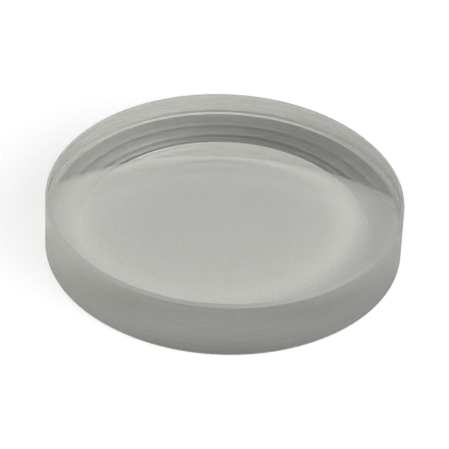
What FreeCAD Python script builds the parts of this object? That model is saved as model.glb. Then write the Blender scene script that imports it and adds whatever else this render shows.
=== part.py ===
import FreeCAD, Part
import math
import os
import Sketcher

# Meniscus lens
#
# One disc of crown glass. The upper face is a shallow polished dome. The lower face is a deeper
# polished hollow, so the middle is thinner than the rim and the lens spreads light. The rim is a
# ground cylinder with a small bevel at each corner, and the lens rests on a narrow flat ring
# round the hollow.
#
# Lengths are in millimetres. Z is the optical axis, the flat ring lies on z = 0 with its centre
# at the origin, and +Z points out of the dome.

# Driving sizes: the word by which each is known, its value, and what it measures
SIZES = (
    ("diameter", 50.0, "across the ground rim"),
    ("edge_height", 8.6, "from the flat ring up to the corner of the dome and the rim"),
    ("dome_radius", 300.0, "spherical radius of the upper face"),
    ("hollow_radius", 72.5, "spherical radius of the lower face"),
    ("dome_bevel", 0.4, "leg of the bevel between the dome and the rim"),
    ("ring_bevel", 0.3, "leg of the bevel between the flat ring and the rim"),
    ("ring_width", 0.55, "width of the flat ring that the lens rests on"),
)

RIM_RADIUS = "Sizes.diameter / 2"
HOLLOW_MOUTH_RADIUS = "Sizes.diameter / 2 - Sizes.ring_bevel - Sizes.ring_width"

SIZE = {name: value for name, value, meaning in SIZES}

# Numbers by which a sketch knows its own two axes, and the points of a line or an arc. The
# origin is where the level axis starts
LEVEL_AXIS, UPRIGHT_AXIS = range(-1, -3, -1)
START, END, CENTRE = range(1, 4)
ROOT_POINT = (LEVEL_AXIS, START)

# How close a measured length has to be to the size that it should have
LENGTH_TOLERANCE = 1e-6


def write_sheet(doc):
    """Put the driving sizes into a spreadsheet, one row each, with the word as the alias."""
    sheet = doc.addObject("Spreadsheet::Sheet", "Sizes")
    for row, (name, value, meaning) in enumerate(SIZES, start=1):
        sheet.set(f"A{row}", name)
        sheet.set(f"B{row}", str(value))
        sheet.set(f"C{row}", meaning)
        sheet.setAlias(f"B{row}", name)
    doc.recompute()
    return sheet


def section_sketch(body, name):
    """Give an empty sketch on the body's upright XZ plane: across is the radius, up is Z."""
    plane = next(item for item in body.Origin.OriginFeatures if item.Role == "XZ_Plane")
    sketch = body.newObject("Sketcher::SketchObject", name)
    sketch.AttachmentSupport = (plane, [""])
    sketch.MapMode = "FlatFace"
    return sketch


def point(across, up):
    """Give a point of a section, by its radius and its height."""
    return FreeCAD.Vector(across, up, 0)


def bind(sketch, number, name, expression):
    """Name a sketch's dimension and bind it to the sheet."""
    sketch.renameConstraint(number, name)
    sketch.setExpression(f"Constraints.{name}", expression)


def add_half_section(sketch, face_radius, mouth_radius, mouth_height):
    """Draw half of a disc's section under a spherical arc.

    The base runs from the origin to the mouth radius, the side rises to the mouth height, the
    arc comes in to the axis with its centre on the axis, and the axis closes the outline. With
    no height the side is left out, and the arc starts at the end of the base.
    """
    centre_height = mouth_height - math.sqrt(face_radius ** 2 - mouth_radius ** 2)
    top = centre_height + face_radius
    start_angle = math.acos(mouth_radius / face_radius)
    circle = Part.Circle(point(0, centre_height), FreeCAD.Vector(0, 0, 1), face_radius)

    base = sketch.addGeometry(Part.LineSegment(point(0, 0), point(mouth_radius, 0)), False)
    arc = sketch.addGeometry(Part.ArcOfCircle(circle, start_angle, math.pi / 2), False)
    axis = sketch.addGeometry(Part.LineSegment(point(0, top), point(0, 0)), False)

    sketch.addConstraint(Sketcher.Constraint("Coincident", base, START, *ROOT_POINT))
    sketch.addConstraint(Sketcher.Constraint("Horizontal", base))
    sketch.addConstraint(Sketcher.Constraint("Coincident", arc, END, axis, START))
    sketch.addConstraint(Sketcher.Constraint("Coincident", axis, END, *ROOT_POINT))
    sketch.addConstraint(Sketcher.Constraint("Vertical", axis))
    sketch.addConstraint(Sketcher.Constraint("PointOnObject", arc, CENTRE, UPRIGHT_AXIS))
    if mouth_height > 0:
        side_line = Part.LineSegment(point(mouth_radius, 0), point(mouth_radius, mouth_height))
        side = sketch.addGeometry(side_line, False)
        sketch.addConstraint(Sketcher.Constraint("Coincident", base, END, side, START))
        sketch.addConstraint(Sketcher.Constraint("Vertical", side))
        sketch.addConstraint(Sketcher.Constraint("Coincident", side, END, arc, START))
        height = sketch.addConstraint(Sketcher.Constraint("DistanceY", side, START, side, END, mouth_height))
    else:
        sketch.addConstraint(Sketcher.Constraint("Coincident", base, END, arc, START))
        height = None
    mouth = sketch.addConstraint(Sketcher.Constraint("DistanceX", base, START, base, END, mouth_radius))
    radius = sketch.addConstraint(Sketcher.Constraint("Radius", arc, face_radius))
    return mouth, radius, height


def add_blank(body):
    """Turn the pressed blank: a flat-bottomed disc whose top is already the shallow dome."""
    sketch = section_sketch(body, "BlankSection")
    mouth, radius, height = add_half_section(
        sketch, SIZE["dome_radius"], SIZE["diameter"] / 2, SIZE["edge_height"])
    bind(sketch, mouth, "RimRadius", RIM_RADIUS)
    bind(sketch, radius, "DomeRadius", "Sizes.dome_radius")
    bind(sketch, height, "EdgeHeight", "Sizes.edge_height")
    blank = body.newObject("PartDesign::Revolution", "Blank")
    blank.Profile = sketch
    blank.ReferenceAxis = (sketch, ["V_Axis"])
    blank.Angle = 360
    return blank


def add_hollow(body):
    """Grind the hollow out of the flat bottom, up to the flat ring that is left round it."""
    sketch = section_sketch(body, "HollowSection")
    mouth_radius = SIZE["diameter"] / 2 - SIZE["ring_bevel"] - SIZE["ring_width"]
    mouth, radius, no_height = add_half_section(sketch, SIZE["hollow_radius"], mouth_radius, 0)
    bind(sketch, mouth, "MouthRadius", HOLLOW_MOUTH_RADIUS)
    bind(sketch, radius, "HollowRadius", "Sizes.hollow_radius")
    hollow = body.newObject("PartDesign::Groove", "Hollow")
    hollow.Profile = sketch
    hollow.ReferenceAxis = (sketch, ["V_Axis"])
    hollow.Angle = 360
    return hollow


def corner_edge(shape, radius, height):
    """Give the name of the round edge with this radius at this height."""
    for number, edge in enumerate(shape.Edges, start=1):
        circle = edge.Curve
        if not isinstance(circle, Part.Circle):
            continue
        same_radius = abs(circle.Radius - radius) < LENGTH_TOLERANCE
        same_height = abs(circle.Center.z - height) < LENGTH_TOLERANCE
        if same_radius and same_height:
            return f"Edge{number}"
    raise RuntimeError(f"no round edge of radius {radius} mm at height {height} mm")


def add_bevel(body, name, base, height, expression):
    """Bevel the rim's corner at this height, at 45 degrees with both legs alike."""
    edge = corner_edge(base.Shape, SIZE["diameter"] / 2, height)
    bevel = body.newObject("PartDesign::Chamfer", name)
    bevel.Base = (base, [edge])
    bevel.setExpression("Size", expression)
    return bevel


def check_feature(doc, feature, volume_before):
    """Recompute, and stop unless the feature is sound and took glass away.

    The first feature has nothing before it and must leave a solid.
    """
    doc.recompute()
    for item in doc.Objects:
        if "Invalid" in item.State or "Error" in item.State:
            raise RuntimeError(f"{item.Label} failed: {item.State}")
    shape = feature.Shape
    if shape.isNull() or not shape.isValid() or len(shape.Solids) != 1:
        raise RuntimeError(f"{feature.Label} is not one valid solid")
    if volume_before is not None and shape.Volume >= volume_before - LENGTH_TOLERANCE:
        raise RuntimeError(f"{feature.Label} took nothing away")
    return shape.Volume


def build_lens(doc):
    """Make the lens in the order of the workshop: blank, hollow, then the two bevels."""
    body = doc.addObject("PartDesign::Body", "Lens")
    body.Label = "lens"
    blank = add_blank(body)
    volume = check_feature(doc, blank, None)
    hollow = add_hollow(body)
    volume = check_feature(doc, hollow, volume)
    dome_bevel = add_bevel(body, "DomeBevel", hollow, SIZE["edge_height"], "Sizes.dome_bevel")
    volume = check_feature(doc, dome_bevel, volume)
    ring_bevel = add_bevel(body, "RingBevel", dome_bevel, 0.0, "Sizes.ring_bevel")
    check_feature(doc, ring_bevel, volume)
    body.Tip = ring_bevel
    body.Placement = FreeCAD.Placement()
    return body


def main():
    doc = FreeCAD.newDocument("MeniscusLens")
    write_sheet(doc)
    body = build_lens(doc)
    doc.recompute()
    if "Invalid" in body.State or body.Shape.isNull() or not body.Shape.isValid():
        raise RuntimeError("the lens is not sound")
    os.makedirs("parts", exist_ok=True)
    body.Shape.exportStep(f"parts/{body.Label}.step")
    box = body.Shape.optimalBoundingBox(False, False)
    print(f"{body.Label}: {box.XLength:.3f} x {box.YLength:.3f} x {box.ZLength:.3f} mm, "
          f"{body.Shape.Volume:.1f} cubic mm")


main()
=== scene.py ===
"""A ground and polished meniscus lens, resting on a pale studio floor.

The lens is one disc of glass. From the axis outwards and round the section, its skin has six
zones: the hollow underneath, the flat ring that it rests on, a small bevel, the ground rim, a
second bevel and the dome on top. One geometry tree turns the whole skin about the optical axis,
and each zone has its own finish. Lengths are in metres.
"""

import logging
import math
from dataclasses import dataclass, field
from enum import IntEnum

import bpy
from mathutils import Matrix, Vector


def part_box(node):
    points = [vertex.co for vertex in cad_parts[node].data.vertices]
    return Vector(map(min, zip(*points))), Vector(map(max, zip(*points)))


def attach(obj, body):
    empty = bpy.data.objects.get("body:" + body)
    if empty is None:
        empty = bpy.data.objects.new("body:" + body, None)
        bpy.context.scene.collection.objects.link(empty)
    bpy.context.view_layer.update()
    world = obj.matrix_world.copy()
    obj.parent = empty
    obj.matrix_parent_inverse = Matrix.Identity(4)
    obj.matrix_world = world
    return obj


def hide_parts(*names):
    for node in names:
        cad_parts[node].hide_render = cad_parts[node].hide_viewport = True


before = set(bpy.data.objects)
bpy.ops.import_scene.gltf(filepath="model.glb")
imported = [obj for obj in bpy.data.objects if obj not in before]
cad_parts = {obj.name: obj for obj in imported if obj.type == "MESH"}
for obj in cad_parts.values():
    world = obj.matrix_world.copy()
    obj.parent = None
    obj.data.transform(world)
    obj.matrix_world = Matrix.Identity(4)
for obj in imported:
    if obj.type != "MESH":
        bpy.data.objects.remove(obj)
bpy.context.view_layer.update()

LOG = logging.getLogger("meniscus_lens")
MM = 0.001
GLASS_INDEX = 1.54

Triple = tuple[float, float, float]
Socket = bpy.types.NodeSocket


class Zone(IntEnum):
    """The zones of the lens's skin, in the order in which its section passes through them."""

    HOLLOW = 0
    RING = 1
    RING_BEVEL = 2
    RIM = 3
    DOME_BEVEL = 4
    DOME = 5


@dataclass(frozen=True)
class LensSizes:
    """The lens's real sizes, in metres, as its drawing gives them."""

    rim_radius: float
    edge_height: float = 8.6 * MM
    dome_radius: float = 300.0 * MM
    hollow_radius: float = 72.5 * MM
    dome_bevel: float = 0.4 * MM
    ring_bevel: float = 0.3 * MM
    ring_width: float = 0.55 * MM


@dataclass(frozen=True)
class TurningSteps:
    """How finely each zone is divided along the section, and the whole skin round the axis."""

    around: int = 288
    face: int = 110
    ring: int = 2
    bevel: int = 2
    rim: int = 10


class NodeBench:
    """Lays nodes on one tree and joins them, so that a tree reads as a few named steps."""

    def __init__(self, tree: bpy.types.NodeTree) -> None:
        """Keep the tree that the nodes go on."""
        self.tree = tree

    def feed(self, socket: Socket, value: object) -> None:
        """Join an output to a socket, or set the socket's own value.

        Args:
            socket: The input socket.
            value: An output socket, or a plain value.
        """
        if isinstance(value, bpy.types.NodeSocket):
            self.tree.links.new(value, socket)
        else:
            socket.default_value = value

    def node(
        self,
        kind: str,
        inputs: dict[str | int, object] | None = None,
        **settings: object,
    ) -> bpy.types.Node:
        """Add a node, set its properties, then feed its inputs.

        Args:
            kind: The node's type.
            inputs: Socket name or number, to a value or an output socket.
            **settings: The node's properties.

        Returns:
            The new node.
        """
        node = self.tree.nodes.new(kind)
        for name, value in settings.items():
            setattr(node, name, value)
        for key, value in (inputs or {}).items():
            self.feed(node.inputs[key], value)
        return node

    def math(
        self,
        operation: str,
        first: object,
        second: object = 0.0,
        third: object = 0.0,
    ) -> Socket:
        """Add a Math node.

        Args:
            operation: What the node does, such as ADD.
            first: Its first value or socket.
            second: Its second value or socket.
            third: Its third, for an operation that takes three.

        Returns:
            The node's output.
        """
        inputs = {0: first, 1: second, 2: third}
        return self.node("ShaderNodeMath", inputs, operation=operation).outputs[0]

    def blend(self, start: object, end: object, share: object) -> Socket:
        """Go evenly from one number to another, and past them outside shares 0 and 1.

        Args:
            start: The number at share 0.
            end: The number at share 1.
            share: How far along.

        Returns:
            The number between them.
        """
        inputs = {"Factor": share, "A": start, "B": end}
        mixed = self.node("ShaderNodeMix", inputs, data_type="FLOAT", clamp_factor=False)
        return mixed.outputs["Result"]

    def ease(self, value: object, near: float, far: float, at_near: object, at_far: object) -> Socket:
        """Go smoothly from one number to another while a value goes from near to far.

        Args:
            value: The value that is followed.
            near: Where the change starts.
            far: Where it ends.
            at_near: The result at near and before it.
            at_far: The result at far and past it.

        Returns:
            The result.
        """
        span = {
            "Value": value,
            "From Min": near,
            "From Max": far,
            "To Min": at_near,
            "To Max": at_far,
        }
        return self.node("ShaderNodeMapRange", span, interpolation_type="SMOOTHSTEP").outputs["Result"]

    def noise(self, place: Socket, scale: float, detail: float) -> Socket:
        """Add a noise between 0 and 1.

        Args:
            place: The place at which it is read.
            scale: How many grains there are to a metre of that place.
            detail: How many finer noises are laid over it.

        Returns:
            The noise.
        """
        inputs = {"Vector": place, "Scale": scale, "Detail": detail}
        return self.node("ShaderNodeTexNoise", inputs).outputs["Fac"]

    def either_way(self, noise: Socket) -> Socket:
        """Spread a noise between 0 and 1 out to lie between -1 and 1."""
        return self.math("MULTIPLY_ADD", noise, 2.0, -1.0)

    def shade(self, tint: Triple, tone: object) -> Socket:
        """Make a tint lighter or darker.

        Args:
            tint: The tint at tone 1.
            tone: What every part of the tint is multiplied by.

        Returns:
            The colour.
        """
        product = self.node("ShaderNodeVectorMath", {0: tint, "Scale": tone}, operation="SCALE")
        return product.outputs["Vector"]

    def object_place(self) -> Socket:
        """Give a point's place on its own object."""
        return self.node("ShaderNodeTexCoord").outputs["Object"]

    def axis_place(self) -> tuple[Socket, Socket, Socket]:
        """Say where a point of the lens lies about its optical axis.

        Returns:
            The turn about the axis, the distance from it and the height over the ring.
        """
        parts = self.node("ShaderNodeSeparateXYZ", {0: self.object_place()}).outputs
        turn = self.math("ARCTAN2", parts["Y"], parts["X"])
        right_square = self.math("POWER", parts["X"], 2.0)
        back_square = self.math("POWER", parts["Y"], 2.0)
        outward = self.math("SQRT", self.math("ADD", right_square, back_square))
        return turn, outward, parts["Z"]


class TurnedSkin:
    """The geometry trees that turn the lens's section about its axis."""

    SEAM_MERGE = 0.0005 * MM
    CORNER_ANGLE = math.radians(9.0)
    ZONE_NAME = "zone"

    def __init__(self, finishes: dict[Zone, bpy.types.Material]) -> None:
        """Keep the material of each zone, which the tree's last nodes set."""
        self.finishes = finishes

    @staticmethod
    def declare(tree: bpy.types.NodeTree, lengths: list[str], counts: list[str]) -> None:
        """Give a tree its named inputs and its geometry output.

        Args:
            tree: The tree.
            lengths: Names of the inputs that are lengths.
            counts: Names of the inputs that are whole numbers.
        """
        for name in lengths:
            tree.interface.new_socket(name, in_out="INPUT", socket_type="NodeSocketFloat")
        for name in counts:
            tree.interface.new_socket(name, in_out="INPUT", socket_type="NodeSocketInt")
        tree.interface.new_socket("Geometry", in_out="OUTPUT", socket_type="NodeSocketGeometry")

    def zone_tree(self) -> bpy.types.NodeTree:
        """Make the tree of one zone: a flat grid bent round the axis, straight or spherical along it.

        Returns:
            The tree.
        """
        tree = bpy.data.node_groups.new("turned_zone", "GeometryNodeTree")
        lengths = ["Start Radius", "Start Height", "End Radius", "End Height", "Face Radius"]
        self.declare(tree, lengths, ["Steps Around", "Steps Along", "Zone"])
        bench = NodeBench(tree)
        given = bench.node("NodeGroupInput").outputs
        grid_size = 1.0
        grid = bench.node("GeometryNodeMeshGrid", {
            "Size X": grid_size,
            "Size Y": grid_size,
            "Vertices X": bench.math("ADD", given["Steps Around"], 1.0),
            "Vertices Y": bench.math("ADD", given["Steps Along"], 1.0),
        })
        position = bench.node("GeometryNodeInputPosition").outputs[0]
        place = bench.node("ShaderNodeSeparateXYZ", {0: position}).outputs
        around = bench.math("ADD", place["X"], grid_size / 2.0)
        along = bench.math("ADD", place["Y"], grid_size / 2.0)
        turn = bench.math("MULTIPLY", around, 2.0 * math.pi)
        radius = bench.blend(given["Start Radius"], given["End Radius"], along)
        straight = bench.blend(given["Start Height"], given["End Height"], along)
        start_rise = self.sphere_rise(bench, given["Face Radius"], given["Start Radius"])
        centre = bench.math("SUBTRACT", given["Start Height"], start_rise)
        rise = self.sphere_rise(bench, given["Face Radius"], radius)
        spherical = bench.math("ADD", centre, rise)
        is_sphere = bench.math("GREATER_THAN", given["Face Radius"], 0.0)
        bent = bench.node("ShaderNodeCombineXYZ", {
            "X": bench.math("MULTIPLY", radius, bench.math("COSINE", turn)),
            "Y": bench.math("MULTIPLY", radius, bench.math("SINE", turn)),
            "Z": bench.blend(straight, spherical, is_sphere),
        })
        skin = bench.node("GeometryNodeSetPosition", {
            "Geometry": grid.outputs["Mesh"],
            "Position": bent.outputs[0],
        })
        named = bench.node("GeometryNodeStoreNamedAttribute", {
            "Geometry": skin.outputs[0],
            "Name": self.ZONE_NAME,
            "Value": given["Zone"],
        }, data_type="INT", domain="FACE")
        bench.node("NodeGroupOutput", {0: named.outputs[0]})
        return tree

    @staticmethod
    def sphere_rise(bench: NodeBench, face_radius: object, radius: object) -> Socket:
        """Give a sphere's height over its centre at a distance from the axis.

        Args:
            bench: The bench of the tree.
            face_radius: The sphere's radius.
            radius: The distance from the axis.

        Returns:
            The height, or 0 past the sphere's side.
        """
        face_square = bench.math("POWER", face_radius, 2.0)
        rise_square = bench.math("SUBTRACT", face_square, bench.math("POWER", radius, 2.0))
        return bench.math("SQRT", bench.math("MAXIMUM", rise_square, 0.0))

    def lens_tree(self) -> bpy.types.NodeTree:
        """Make the tree of the whole skin: six zones end to end, welded, creased and finished.

        Returns:
            The tree.
        """
        zone_tree = self.zone_tree()
        tree = bpy.data.node_groups.new("turned_lens", "GeometryNodeTree")
        lengths = [
            "Rim Radius",
            "Edge Height",
            "Dome Radius",
            "Hollow Radius",
            "Dome Bevel",
            "Ring Bevel",
            "Ring Width",
        ]
        counts = ["Steps Around", "Face Steps", "Ring Steps", "Bevel Steps", "Rim Steps"]
        self.declare(tree, lengths, counts)
        bench = NodeBench(tree)
        given = bench.node("NodeGroupInput").outputs
        joined = bench.node("GeometryNodeJoinGeometry")
        for zone, start, end, face_radius, steps in self.section(bench, given):
            turned = bench.node("GeometryNodeGroup", node_tree=zone_tree)
            for name, value in {
                "Start Radius": start[0],
                "Start Height": start[1],
                "End Radius": end[0],
                "End Height": end[1],
                "Face Radius": face_radius,
                "Steps Around": given["Steps Around"],
                "Steps Along": given[steps],
                "Zone": int(zone),
            }.items():
                bench.feed(turned.inputs[name], value)
            tree.links.new(turned.outputs[0], joined.inputs[0])
        skin = self.dressed(bench, self.creased(bench, joined.outputs[0]))
        bench.node("NodeGroupOutput", {0: skin})
        return tree

    def section(self, bench: NodeBench, given: bpy.types.NodeOutputs) -> list[tuple]:
        """Work out the lens's half section from its sizes, from the hollow's crown to the dome's.

        Args:
            bench: The bench of the lens's tree.
            given: The tree's inputs.

        Returns:
            For each zone: which it is, the radius and the height of its start and of its end, its
            face's spherical radius or 0 where it is straight, and the input that counts its steps.
        """
        rim_radius, edge_height = given["Rim Radius"], given["Edge Height"]
        hollow_radius, dome_radius = given["Hollow Radius"], given["Dome Radius"]
        ring_outside = bench.math("SUBTRACT", rim_radius, given["Ring Bevel"])
        ring_inside = bench.math("SUBTRACT", ring_outside, given["Ring Width"])
        hollow_rise = self.sphere_rise(bench, hollow_radius, ring_inside)
        hollow_crown = bench.math("SUBTRACT", hollow_radius, hollow_rise)
        corner_rise = self.sphere_rise(bench, dome_radius, rim_radius)
        dome_centre = bench.math("SUBTRACT", edge_height, corner_rise)
        dome_outside = bench.math("SUBTRACT", rim_radius, given["Dome Bevel"])
        edge_rise = self.sphere_rise(bench, dome_radius, dome_outside)

        crown = (0.0, hollow_crown)
        ring_start = (ring_inside, 0.0)
        ring_end = (ring_outside, 0.0)
        rim_foot = (rim_radius, given["Ring Bevel"])
        rim_top = (rim_radius, bench.math("SUBTRACT", edge_height, given["Dome Bevel"]))
        dome_edge = (dome_outside, bench.math("ADD", dome_centre, edge_rise))
        axis_end = (0.0, 0.0)
        return [
            (Zone.HOLLOW, crown, ring_start, hollow_radius, "Face Steps"),
            (Zone.RING, ring_start, ring_end, 0.0, "Ring Steps"),
            (Zone.RING_BEVEL, ring_end, rim_foot, 0.0, "Bevel Steps"),
            (Zone.RIM, rim_foot, rim_top, 0.0, "Rim Steps"),
            (Zone.DOME_BEVEL, rim_top, dome_edge, 0.0, "Bevel Steps"),
            (Zone.DOME, dome_edge, axis_end, dome_radius, "Face Steps"),
        ]

    def creased(self, bench: NodeBench, skin: Socket) -> Socket:
        """Weld the zones together, smooth the skin and leave its corners sharp.

        Args:
            bench: The bench of the lens's tree.
            skin: The six zones.

        Returns:
            The one closed skin.
        """
        welded = bench.node("GeometryNodeMergeByDistance", {
            "Geometry": skin,
            "Distance": self.SEAM_MERGE,
        })
        angle = bench.node("GeometryNodeInputMeshEdgeAngle").outputs["Unsigned Angle"]
        smooth = bench.node("GeometryNodeSetShadeSmooth", {
            "Geometry": welded.outputs[0],
            "Shade Smooth": True,
        })
        creased = bench.node("GeometryNodeSetShadeSmooth", {
            "Geometry": smooth.outputs[0],
            "Shade Smooth": bench.math("LESS_THAN", angle, self.CORNER_ANGLE),
        }, domain="EDGE")
        return bench.node("GeometryNodeRealizeInstances", {"Geometry": creased.outputs[0]}).outputs[0]

    def dressed(self, bench: NodeBench, skin: Socket) -> Socket:
        """Give each zone its finish.

        Args:
            bench: The bench of the lens's tree.
            skin: The closed skin.

        Returns:
            The skin with its materials.
        """
        name = {"Name": self.ZONE_NAME}
        number = bench.node("GeometryNodeInputNamedAttribute", name, data_type="INT")
        for zone, material in self.finishes.items():
            here = bench.node("FunctionNodeCompare", {
                2: number.outputs[0],
                3: int(zone),
            }, data_type="INT", operation="EQUAL")
            skin = bench.node("GeometryNodeSetMaterial", {
                "Geometry": skin,
                "Selection": here.outputs[0],
                "Material": material,
            }).outputs[0]
        return skin


def glass_material(name: str) -> tuple[bpy.types.Material, NodeBench, bpy.types.Node]:
    """Make a material of plain glass, for a finish to add to.

    Args:
        name: The material's name.

    Returns:
        The material, the bench of its tree and its shader.
    """
    made = bpy.data.materials.new(name)
    made.use_nodes = True
    shader = made.node_tree.nodes["Principled BSDF"]
    shader.inputs["Transmission Weight"].default_value = 1.0
    shader.inputs["IOR"].default_value = GLASS_INDEX
    return made, NodeBench(made.node_tree), shader


@dataclass(frozen=True)
class PolishedGlass:
    """Glass polished to an optical surface, which mirrors the studio only faintly.

    The grain is how far its tint varies, and its scale is in grains to the metre along each axis.
    """

    name: str
    tint: Triple = (0.658, 0.665, 0.632)
    mirror_share: Triple = (0.2, 0.2, 0.2)
    roughness: float = 0.0
    grain: float = 0.05
    grain_scale: Triple = (1200.0, 4200.0, 4200.0)
    grain_detail: float = 2.0

    def material(self) -> bpy.types.Material:
        """Make the finish's material.

        Returns:
            The material.
        """
        made, bench, shader = glass_material(self.name)
        shader.inputs["Roughness"].default_value = self.roughness
        shader.inputs["Specular Tint"].default_value = (*self.mirror_share, 1.0)
        woven = bench.node("ShaderNodeMapping", {
            "Vector": bench.object_place(),
            "Scale": self.grain_scale,
        })
        grain = bench.noise(woven.outputs[0], 1.0, self.grain_detail)
        tone = bench.blend(1.0 - self.grain, 1.0 + self.grain, grain)
        bench.feed(shader.inputs["Base Color"], bench.shade(self.tint, tone))
        return made


@dataclass(frozen=True)
class WheelMark:
    """A band that the wheel left round the rim, a little coarser or finer, or a shallow groove."""

    height: float
    reach: float
    coarser: float = 0.0
    depth: float = 0.0


@dataclass(frozen=True)
class WheelGrain:
    """The fine lines that a wheel leaves round the axis, and the speckle between them.

    A tone is how far the tint varies, a coarseness how far the roughness does, and a scale is in
    grains to the metre. The drift lets the lines wander a little on their way round.
    """

    line_tone: float = 0.22
    line_coarseness: float = 0.05
    line_depth: float = 0.004 * MM
    line_scale: float = 3400.0
    line_detail: float = 3.0
    line_drift: float = 0.6 * MM
    speckle_tone: float = 0.26
    speckle_coarseness: float = 0.06
    speckle_scale: float = 5000.0
    speckle_detail: float = 1.0

    def lines(self, bench: NodeBench, turn: Socket, along: Socket) -> Socket:
        """Make the noise of the lines.

        Args:
            bench: The bench of the material's tree.
            turn: The turn about the axis.
            along: The place along the section.

        Returns:
            The noise, between 0 and 1.
        """
        around = bench.node("ShaderNodeCombineXYZ", {
            "X": bench.math("MULTIPLY", bench.math("SINE", turn), self.line_drift),
            "Y": bench.math("MULTIPLY", bench.math("COSINE", turn), self.line_drift),
            "Z": along,
        })
        return bench.noise(around.outputs[0], self.line_scale, self.line_detail)

    def speckle(self, bench: NodeBench, place: Socket) -> Socket:
        """Make the noise of the speckle, between 0 and 1."""
        return bench.noise(place, self.speckle_scale, self.speckle_detail)


@dataclass(frozen=True)
class PaintedShading:
    """Painted light and shade on a ground zone: where it is lighter or darker, as shares of its tint.

    The painted shade of the foot and of the upper corners is only in front. The crest and the sides go
    all round.
    """

    foot: float = 0.0
    foot_height: float = 5.0 * MM
    foot_edge: float = 0.0
    foot_edge_height: float = 0.9 * MM
    crest: float = 0.0
    crest_height: float = 8.6 * MM
    left: float = 0.0
    right: float = 0.0
    side_reach: float = 25.0 * MM
    corners: float = 0.0
    corners_from: float = 19.0 * MM
    corners_until: float = 23.5 * MM

    def tone(self, bench: NodeBench, across: Socket, height: Socket, in_front: Socket) -> Socket:
        """Add up the painted light and shade at a point.

        Args:
            bench: The bench of the material's tree.
            across: The point's place to the right of the axis.
            height: Its height over the ring.
            in_front: 1 in front of the axis and 0 behind it.

        Returns:
            The sum, 0 where nothing changes.
        """
        # Painted shade: darker towards the foot, and darker still at its very edge.
        foot = bench.ease(height, 0.0, self.foot_height, self.foot, 0.0)
        foot_edge = bench.ease(height, 0.0, self.foot_edge_height, self.foot_edge, 0.0)
        # Painted light on the crest, and painted shade at the front's upper corners.
        upper = bench.ease(height, self.foot_height, self.crest_height, 0.0, 1.0)
        away = bench.math("ABSOLUTE", across)
        outer = bench.ease(away, self.corners_from, self.corners_until, 0.0, self.corners)
        front = bench.math("MULTIPLY_ADD", outer, upper, bench.math("ADD", foot, foot_edge))
        # Painted light and shade on the left and right sides.
        left = bench.ease(across, -self.side_reach, 0.0, self.left, 0.0)
        right = bench.ease(across, 0.0, self.side_reach, 0.0, self.right)
        all_round = bench.math("MULTIPLY_ADD", upper, self.crest, bench.math("ADD", left, right))
        return bench.math("MULTIPLY_ADD", front, in_front, all_round)


@dataclass(frozen=True)
class GroundGlass:
    """Glass as a fine wheel leaves it: frosted, with faint lines that run round the axis, and with
    painted light and shade over its tint.

    The marks keep only a share of their strength in front, and fade to it across the axis.
    """

    name: str
    tint: Triple
    roughness: float
    grain: WheelGrain
    painted_shading: PaintedShading = field(default_factory=PaintedShading)
    marks: tuple[WheelMark, ...] = ()
    mark_share_in_front: float = 0.12
    fade: float = 9.0 * MM

    def material(self) -> bpy.types.Material:
        """Make the finish's material.

        Returns:
            The material.
        """
        made, bench, shader = glass_material(self.name)
        turn, outward, height = bench.axis_place()
        place = bench.object_place()
        across = bench.node("ShaderNodeSeparateXYZ", {0: place}).outputs
        behind = bench.ease(across["Y"], -self.fade, self.fade, 0.0, 1.0)
        in_front = bench.math("SUBTRACT", 1.0, behind)
        lines = self.grain.lines(bench, turn, bench.math("SUBTRACT", height, outward))
        line = bench.either_way(lines)
        spot = bench.either_way(self.grain.speckle(bench, place))

        tone = bench.math("MULTIPLY_ADD", line, self.grain.line_tone, 1.0)
        tone = bench.math("MULTIPLY_ADD", spot, self.grain.speckle_tone, tone)
        # Painted light and shade, added to the tone of the wheel's grain.
        tone = bench.math("ADD", tone, self.painted_shading.tone(bench, across["X"], height, in_front))
        bench.feed(shader.inputs["Base Color"], bench.shade(self.tint, tone))

        rough = bench.math("MULTIPLY_ADD", line, self.grain.line_coarseness, self.roughness)
        rough = bench.math("MULTIPLY_ADD", spot, self.grain.speckle_coarseness, rough)
        relief = bench.math("MULTIPLY", lines, self.grain.line_depth)
        share = bench.blend(self.mark_share_in_front, 1.0, behind)
        for mark in self.marks:
            away = bench.math("ABSOLUTE", bench.math("SUBTRACT", height, mark.height))
            near = bench.math("MULTIPLY", bench.ease(away, 0.0, mark.reach, 1.0, 0.0), share)
            rough = bench.math("MULTIPLY_ADD", near, mark.coarser, rough)
            relief = bench.math("MULTIPLY_ADD", near, -mark.depth, relief)
        bump = bench.node("ShaderNodeBump", {"Strength": 1.0, "Distance": 1.0, "Height": relief})
        bench.feed(shader.inputs["Roughness"], rough)
        bench.feed(shader.inputs["Normal"], bump.outputs[0])
        return made


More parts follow.
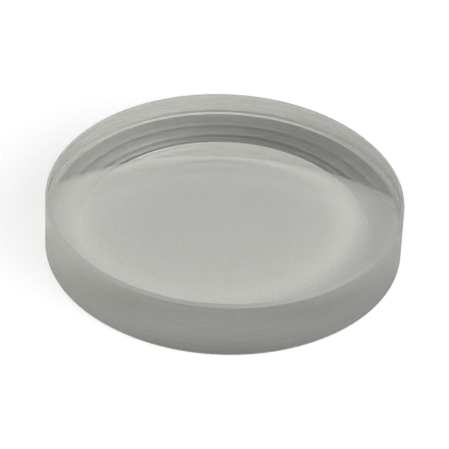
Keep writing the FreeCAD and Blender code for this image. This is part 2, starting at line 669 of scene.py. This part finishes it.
@dataclass
class MeniscusLens:
    """The lens, one piece of glass with a finish on each zone of its skin."""

    sizes: LensSizes
    steps: TurningSteps = field(default_factory=TurningSteps)
    node_name: str = "lens"
    slot_name: str = "optical_glass"
    body_name: str = "root"

    def rim_finish(self) -> GroundGlass:
        """Describe the ground rim, the only zone on which the wheel left marks.

        Returns:
            The finish.
        """
        marks = (
            WheelMark(2.80 * MM, 0.50 * MM, coarser=0.11),
            WheelMark(3.65 * MM, 0.65 * MM, coarser=-0.07),
            WheelMark(6.65 * MM, 1.00 * MM, coarser=-0.13),
            WheelMark(7.45 * MM, 0.30 * MM, coarser=0.06),
            WheelMark(8.05 * MM, 0.60 * MM, coarser=-0.14),
            WheelMark(3.35 * MM, 0.90 * MM, depth=0.055 * MM),
            WheelMark(6.30 * MM, 1.10 * MM, depth=0.055 * MM),
        )
        # Painted shade at the foot, at the front's upper corners and on the right; painted light on
        # the crest and on the left.
        painted_shading = PaintedShading(
            foot=-0.15,
            foot_edge=-0.20,
            crest=0.12,
            left=0.15,
            right=-0.10,
            corners=-0.15,
        )
        return GroundGlass(
            "ground_rim_painted_shading",
            tint=(0.72, 0.733, 0.658),
            roughness=0.58,
            grain=WheelGrain(),
            painted_shading=painted_shading,
            marks=marks,
        )

    def finishes(self) -> dict[Zone, bpy.types.Material]:
        """Make the material of each zone.

        Returns:
            Zone to material.
        """
        fine_grain = WheelGrain(
            line_tone=0.03,
            line_coarseness=0.01,
            line_depth=0.0005 * MM,
            speckle_tone=0.0,
            speckle_coarseness=0.0,
        )
        polished = PolishedGlass("polished_glass").material()
        dome_bevel = GroundGlass(
            "ground_bevel",
            tint=(0.60, 0.605, 0.57),
            roughness=0.5,
            grain=fine_grain,
        )
        # Painted light: the ring's pale tint stands for the floor's light under it, and its left and
        # right sides are painted darker.
        ring = GroundGlass(
            "ground_ring_painted_light",
            tint=(0.91, 0.925, 0.87),
            roughness=0.38,
            grain=fine_grain,
            painted_shading=PaintedShading(left=-0.34, right=-0.50),
        )
        # Painted shade: the foot bevel is dark in the crease where the lens meets the floor, and its
        # left and right sides are painted lighter.
        ring_bevel = GroundGlass(
            "ground_foot_bevel_painted_shade",
            tint=(0.22, 0.225, 0.205),
            roughness=0.5,
            grain=fine_grain,
            painted_shading=PaintedShading(left=1.7, right=1.1),
        )
        return {
            Zone.HOLLOW: polished,
            Zone.RING: ring.material(),
            Zone.RING_BEVEL: ring_bevel.material(),
            Zone.RIM: self.rim_finish().material(),
            Zone.DOME_BEVEL: dome_bevel.material(),
            Zone.DOME: polished,
        }

    def tree_values(self) -> dict[str, float]:
        """Give the geometry tree's inputs by name.

        Returns:
            Input name to size or count.
        """
        return {
            "Rim Radius": self.sizes.rim_radius,
            "Edge Height": self.sizes.edge_height,
            "Dome Radius": self.sizes.dome_radius,
            "Hollow Radius": self.sizes.hollow_radius,
            "Dome Bevel": self.sizes.dome_bevel,
            "Ring Bevel": self.sizes.ring_bevel,
            "Ring Width": self.sizes.ring_width,
            "Steps Around": self.steps.around,
            "Face Steps": self.steps.face,
            "Ring Steps": self.steps.ring,
            "Bevel Steps": self.steps.bevel,
            "Rim Steps": self.steps.rim,
        }

    def build(self) -> bpy.types.Object:
        """Turn the skin, make it a plain mesh and let it stand for the CAD node.

        Returns:
            The lens.
        """
        tree = TurnedSkin(self.finishes()).lens_tree()
        lens = bpy.data.objects.new("glass_lens", bpy.data.meshes.new("glass_lens_blank"))
        bpy.context.scene.collection.objects.link(lens)
        modifier = lens.modifiers.new("turning", "NODES")
        modifier.node_group = tree
        values = self.tree_values()
        for item in tree.interface.items_tree:
            if item.in_out == "INPUT":
                modifier[item.identifier] = values[item.name]
        bpy.context.view_layer.update()
        evaluated = lens.evaluated_get(bpy.context.evaluated_depsgraph_get())
        mesh = bpy.data.meshes.new_from_object(evaluated)
        mesh.name = "glass_lens"
        lens.modifiers.remove(modifier)
        lens.data = mesh
        mesh.attributes.remove(mesh.attributes[TurnedSkin.ZONE_NAME])
        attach(lens, self.body_name)
        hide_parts(self.node_name)
        return lens


@dataclass(frozen=True)
class StudioSky:
    """Soft light from all round, dimmer overhead and behind, with a wide glow in front to the right.

    Azimuths run from straight behind the lens to the right, and elevations up from the level.
    """

    level: float = 1.32
    overhead_share: float = 0.28
    low_until: float = math.radians(25.0)
    overhead_from: float = math.radians(54.0)
    dim: float = 0.85
    dim_azimuth: float = math.radians(7.0)
    dim_elevation: float = math.radians(49.0)
    dim_core: float = math.radians(13.0)
    dim_reach: float = math.radians(57.0)
    glow: float = 4.37
    glow_azimuth: float = math.radians(133.0)
    glow_elevation: float = math.radians(22.5)
    glow_reach: float = math.radians(51.0)
    colour: Triple = (1.0, 1.0, 1.0)

    def build(self) -> None:
        """Make the world."""
        world = bpy.data.worlds.new("studio_sky")
        bpy.context.scene.world = world
        world.use_nodes = True
        bench = NodeBench(world.node_tree)
        background = world.node_tree.nodes["Background"]
        direction = bench.node("ShaderNodeTexCoord").outputs["Generated"]
        up = bench.node("ShaderNodeSeparateXYZ", {0: direction}).outputs["Z"]
        elevation = bench.math("ARCSINE", up)
        overhead = self.level * self.overhead_share
        light = bench.ease(elevation, self.low_until, self.overhead_from, self.level, overhead)
        behind = self.angle_from(bench, direction, self.dim_azimuth, self.dim_elevation)
        kept = bench.ease(behind, self.dim_core, self.dim_reach, 1.0 - self.dim, 1.0)
        in_front = self.angle_from(bench, direction, self.glow_azimuth, self.glow_elevation)
        glow = bench.ease(in_front, 0.0, self.glow_reach, self.glow, 0.0)
        bench.feed(background.inputs["Color"], (*self.colour, 1.0))
        bench.feed(background.inputs["Strength"], bench.math("MULTIPLY_ADD", light, kept, glow))

    @staticmethod
    def angle_from(bench: NodeBench, direction: Socket, azimuth: float, elevation: float) -> Socket:
        """Give the angle between a direction and a fixed one.

        Args:
            bench: The bench of the world's tree.
            direction: The direction.
            azimuth: The fixed direction's azimuth.
            elevation: Its elevation.

        Returns:
            The angle in radians.
        """
        level = math.cos(elevation)
        middle = (math.sin(azimuth) * level, math.cos(azimuth) * level, math.sin(elevation))
        inputs = {0: direction, 1: middle}
        product = bench.node("ShaderNodeVectorMath", inputs, operation="DOT_PRODUCT")
        return bench.math("ARCCOSINE", bench.math("MINIMUM", product.outputs["Value"], 1.0))


@dataclass(frozen=True)
class LightRing:
    """A soft ring on the floor where the lens gathers light or takes it away.

    The radius and the reach are shares of the lens's radius. The gain holds beside the axis, and
    the last value is the share of it that is left behind the lens.
    """

    radius: float
    reach: float
    gain: float
    share_behind: float


@dataclass(frozen=True)
class StudioFloor:
    """A wide pale floor that reads white and keeps the lens's soft shadow.

    A lens that spreads light leaves the floor under its rim a little dark, with a paler ring
    inside. The floor carries both, a little off the axis on the side away from the glow. Places
    and reaches of the rings and of the middle are shares of the lens's radius.
    """

    lens_radius: float
    half_width: float = 3.0
    drop: float = 0.01 * MM
    own_colour: Triple = (0.53, 0.53, 0.53)
    white: float = 0.55
    roughness: float = 0.9
    rings_right: float = -0.07
    rings_back: float = 0.09
    rings: tuple[LightRing, ...] = (
        LightRing(0.78, 0.13, 0.11, share_behind=2.6),
        LightRing(0.96, 0.18, -0.17, share_behind=0.0),
    )
    ring_share_in_front: float = 0.40
    rings_fade_from: float = 0.97
    middle_gain: float = -0.06
    middle_inside: float = 0.40
    middle_outside: float = 0.72
    grain: float = 0.13
    grain_scale: Triple = (2200.0, 3300.0, 0.0)
    grain_detail: float = 2.0

    def build(self) -> bpy.types.Object:
        """Make the floor.

        Returns:
            The floor.
        """
        mesh = bpy.data.meshes.new("studio_floor")
        width, level = self.half_width, -self.drop
        corners = [
            (-width, -width, level),
            (width, -width, level),
            (width, width, level),
            (-width, width, level),
        ]
        mesh.from_pydata(corners, [], [(0, 1, 2, 3)])
        floor = bpy.data.objects.new("studio_floor", mesh)
        bpy.context.scene.collection.objects.link(floor)
        mesh.materials.append(self.material())
        return floor

    @staticmethod
    def distance(bench: NodeBench, place: Socket, middle: Triple) -> Socket:
        """Give the distance between a place and a fixed one.

        Args:
            bench: The bench of the floor's material.
            place: The place.
            middle: The fixed one.

        Returns:
            The distance.
        """
        offset = bench.node("ShaderNodeVectorMath", {0: place, 1: middle}, operation="SUBTRACT")
        length = bench.node("ShaderNodeVectorMath", {0: offset.outputs[0]}, operation="LENGTH")
        return length.outputs["Value"]

    def gathered(self, bench: NodeBench) -> Socket:
        """Say how much lighter or darker the floor is at a place, with its grain.

        Args:
            bench: The bench of the floor's material.

        Returns:
            The factor, 1 where nothing changes.
        """
        place = bench.object_place()
        middle = (self.rings_right * self.lens_radius, self.rings_back * self.lens_radius, 0.0)
        from_middle = self.distance(bench, place, middle)
        away = bench.math("DIVIDE", from_middle, self.lens_radius)
        # Painted shade: the floor is darker under the lens's middle, where the lens spreads the light
        # away.
        middle_light = 1.0 + self.middle_gain
        factor = bench.ease(away, self.middle_inside, self.middle_outside, middle_light, 1.0)
        from_axis = self.distance(bench, place, (0.0, 0.0, 0.0))
        fade_from = self.rings_fade_from * self.lens_radius
        under = bench.ease(from_axis, fade_from, self.lens_radius, 1.0, 0.0)
        back = bench.node("ShaderNodeSeparateXYZ", {0: place}).outputs["Y"]
        in_front = bench.ease(back, -self.lens_radius, 0.0, self.ring_share_in_front, 1.0)
        for ring in self.rings:
            share = bench.ease(back, 0.0, self.lens_radius, in_front, ring.share_behind)
            share = bench.math("MULTIPLY", share, under)
            off = bench.math("ABSOLUTE", bench.math("SUBTRACT", away, ring.radius))
            gain = bench.ease(off, 0.0, ring.reach, ring.gain, 0.0)
            factor = bench.math("MULTIPLY_ADD", gain, share, factor)
        weave = bench.node("ShaderNodeMapping", {"Vector": place, "Scale": self.grain_scale})
        grain = bench.noise(weave.outputs[0], 1.0, self.grain_detail)
        grain = bench.blend(1.0 - self.grain, 1.0 + self.grain, grain)
        return bench.math("MULTIPLY", factor, grain)

    def material(self) -> bpy.types.Material:
        """Make the floor's material: matt, with white added for the camera, gloss and glass alike.

        Returns:
            The material.
        """
        made = bpy.data.materials.new("pale_floor")
        made.use_nodes = True
        bench = NodeBench(made.node_tree)
        shader = made.node_tree.nodes["Principled BSDF"]
        shader.inputs["Roughness"].default_value = self.roughness
        shader.inputs["Specular IOR Level"].default_value = 0.0
        shader.inputs["Emission Color"].default_value = (1.0, 1.0, 1.0, 1.0)
        factor = self.gathered(bench)
        bench.feed(shader.inputs["Base Color"], bench.shade(self.own_colour, factor))
        path = bench.node("ShaderNodeLightPath").outputs
        seen = bench.math("ADD", path["Is Camera Ray"], path["Is Glossy Ray"])
        seen = bench.math("ADD", seen, path["Is Transmission Ray"])
        seen = bench.math("MINIMUM", seen, 1.0)
        white = bench.math("MULTIPLY", factor, self.white)
        bench.feed(shader.inputs["Emission Strength"], bench.math("MULTIPLY", seen, white))
        return made


@dataclass(frozen=True)
class PhotoCamera:
    """The camera, at the place from which the photograph was taken.

    The angles, in degrees, and the distance were fitted to the lens's outline. The next values
    say how large the lens is in the picture, and where the centre of the dome's edge lies in it:
    in pixels right of and above the middle of a frame that is 449 pixels wide.
    """

    elevation: float = 36.29
    roll: float = 2.48
    distance_in_radii: float = 17.20
    pixels_per_radius: float = 179.69
    frame_pixels: float = 449.0
    right_pixels: float = 0.67
    above_pixels: float = 30.09
    sensor: float = 36.0
    nearest: float = 0.01
    farthest: float = 20.0

    def build(self, target: Vector, rim_radius: float) -> bpy.types.Object:
        """Make the camera and make it the scene's.

        Args:
            target: The centre of the dome's edge.
            rim_radius: The lens's radius.

        Returns:
            The camera.
        """
        tilt, roll = math.radians(self.elevation), math.radians(self.roll)
        focal_pixels = self.pixels_per_radius * self.distance_in_radii
        sight = Vector((0.0, math.cos(tilt), -math.sin(tilt)))
        level_up = Vector((0.0, math.sin(tilt), math.cos(tilt)))
        level_right = Vector((1.0, 0.0, 0.0))
        right = level_right * math.cos(roll) + level_up * math.sin(roll)
        up = level_up * math.cos(roll) - level_right * math.sin(roll)
        aim = sight * focal_pixels - right * self.right_pixels - up * self.above_pixels
        aim.normalize()
        side = aim.cross(up).normalized()
        turned = Matrix((side, side.cross(aim), -aim)).transposed().to_4x4()
        turned.translation = target - sight * self.distance_in_radii * rim_radius
        data = bpy.data.cameras.new("photo_camera")
        data.sensor_width = self.sensor
        data.lens = focal_pixels / self.frame_pixels * self.sensor
        data.clip_start, data.clip_end = self.nearest, self.farthest
        camera = bpy.data.objects.new("photo_camera", data)
        camera.matrix_world = turned
        bpy.context.scene.collection.objects.link(camera)
        bpy.context.scene.camera = camera
        return camera


@dataclass
class Studio:
    """The floor, the light and the camera round the lens."""

    sky: StudioSky = field(default_factory=StudioSky)
    camera: PhotoCamera = field(default_factory=PhotoCamera)

    def build(self, sizes: LensSizes) -> None:
        """Make everything that isn't the lens.

        Args:
            sizes: The lens's sizes, which place the camera and the floor's rings.
        """
        self.sky.build()
        StudioFloor(sizes.rim_radius).build()
        self.camera.build(Vector((0.0, 0.0, sizes.edge_height)), sizes.rim_radius)
        bpy.context.scene.view_settings.view_transform = "Standard"


def main() -> None:
    """Build the lens, then the studio round it, and log each piece."""
    logging.basicConfig(level=logging.INFO, format="%(name)s: %(message)s")
    node_low, node_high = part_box(MeniscusLens.node_name)
    sizes = LensSizes(rim_radius=(node_high.x - node_low.x) / 2.0)
    lens = MeniscusLens(sizes).build()
    triangles = sum(len(face.vertices) - 2 for face in lens.data.polygons)
    LOG.info("%s: %d triangles, %.1f mm across", lens.name, triangles, lens.dimensions.x / MM)
    Studio().build(sizes)
    LOG.info("studio: floor, sky and camera")


if __name__ == "__main__":
    main()
